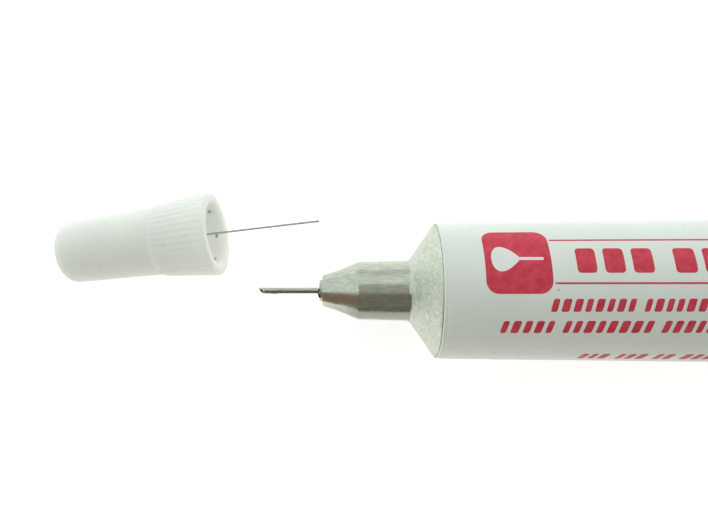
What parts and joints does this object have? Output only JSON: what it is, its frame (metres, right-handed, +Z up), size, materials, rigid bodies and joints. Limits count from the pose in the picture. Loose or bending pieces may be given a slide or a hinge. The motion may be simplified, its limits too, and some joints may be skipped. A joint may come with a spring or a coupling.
{
  "type": "glue tube with needle applicator and wire cap",
  "caption": "Collapsible tube of hobby cement with a fine needle nozzle; its cap lies beside it and carries the wire that keeps the needle clear.",
  "frame": {"origin": "on the table, under the middle of the whole layout of tube and cap", "axes": "+X along the tube towards its folded tail, +Z up off the table, +Y to the side that the cap lies on"},
  "size_m": [0.126, 0.0252, 0.016],
  "materials": {
    "enamel": "glossy white enamel with red print",
    "bare_aluminium": "turned and tumbled, mottled",
    "hub_metal": "turned",
    "needle_steel": "drawn tube, satin",
    "sealant": "dark dried bead",
    "latex": "dull",
    "cement": "clear thick liquid",
    "cap_plastic": "moulded, satin, slightly translucent",
    "wire_steel": "drawn wire"
  },
  "bodies": {
    "tube": {"tube_wall": "enamel", "nozzle_shoulder": "bare_aluminium", "needle_hub": "hub_metal", "needle": "needle_steel", "needle_seal": "sealant", "end_seal": "latex", "cement": "cement"},
    "cap": {"cap_shell": "cap_plastic", "cleaning_wire": "wire_steel"}
  },
  "joints": [
    {"name": "cap_slide", "type": "slide", "parent": "tube", "child": "cap", "axis": [-1, 0, 0], "range_m": [0, 0.0315]}
  ]
}
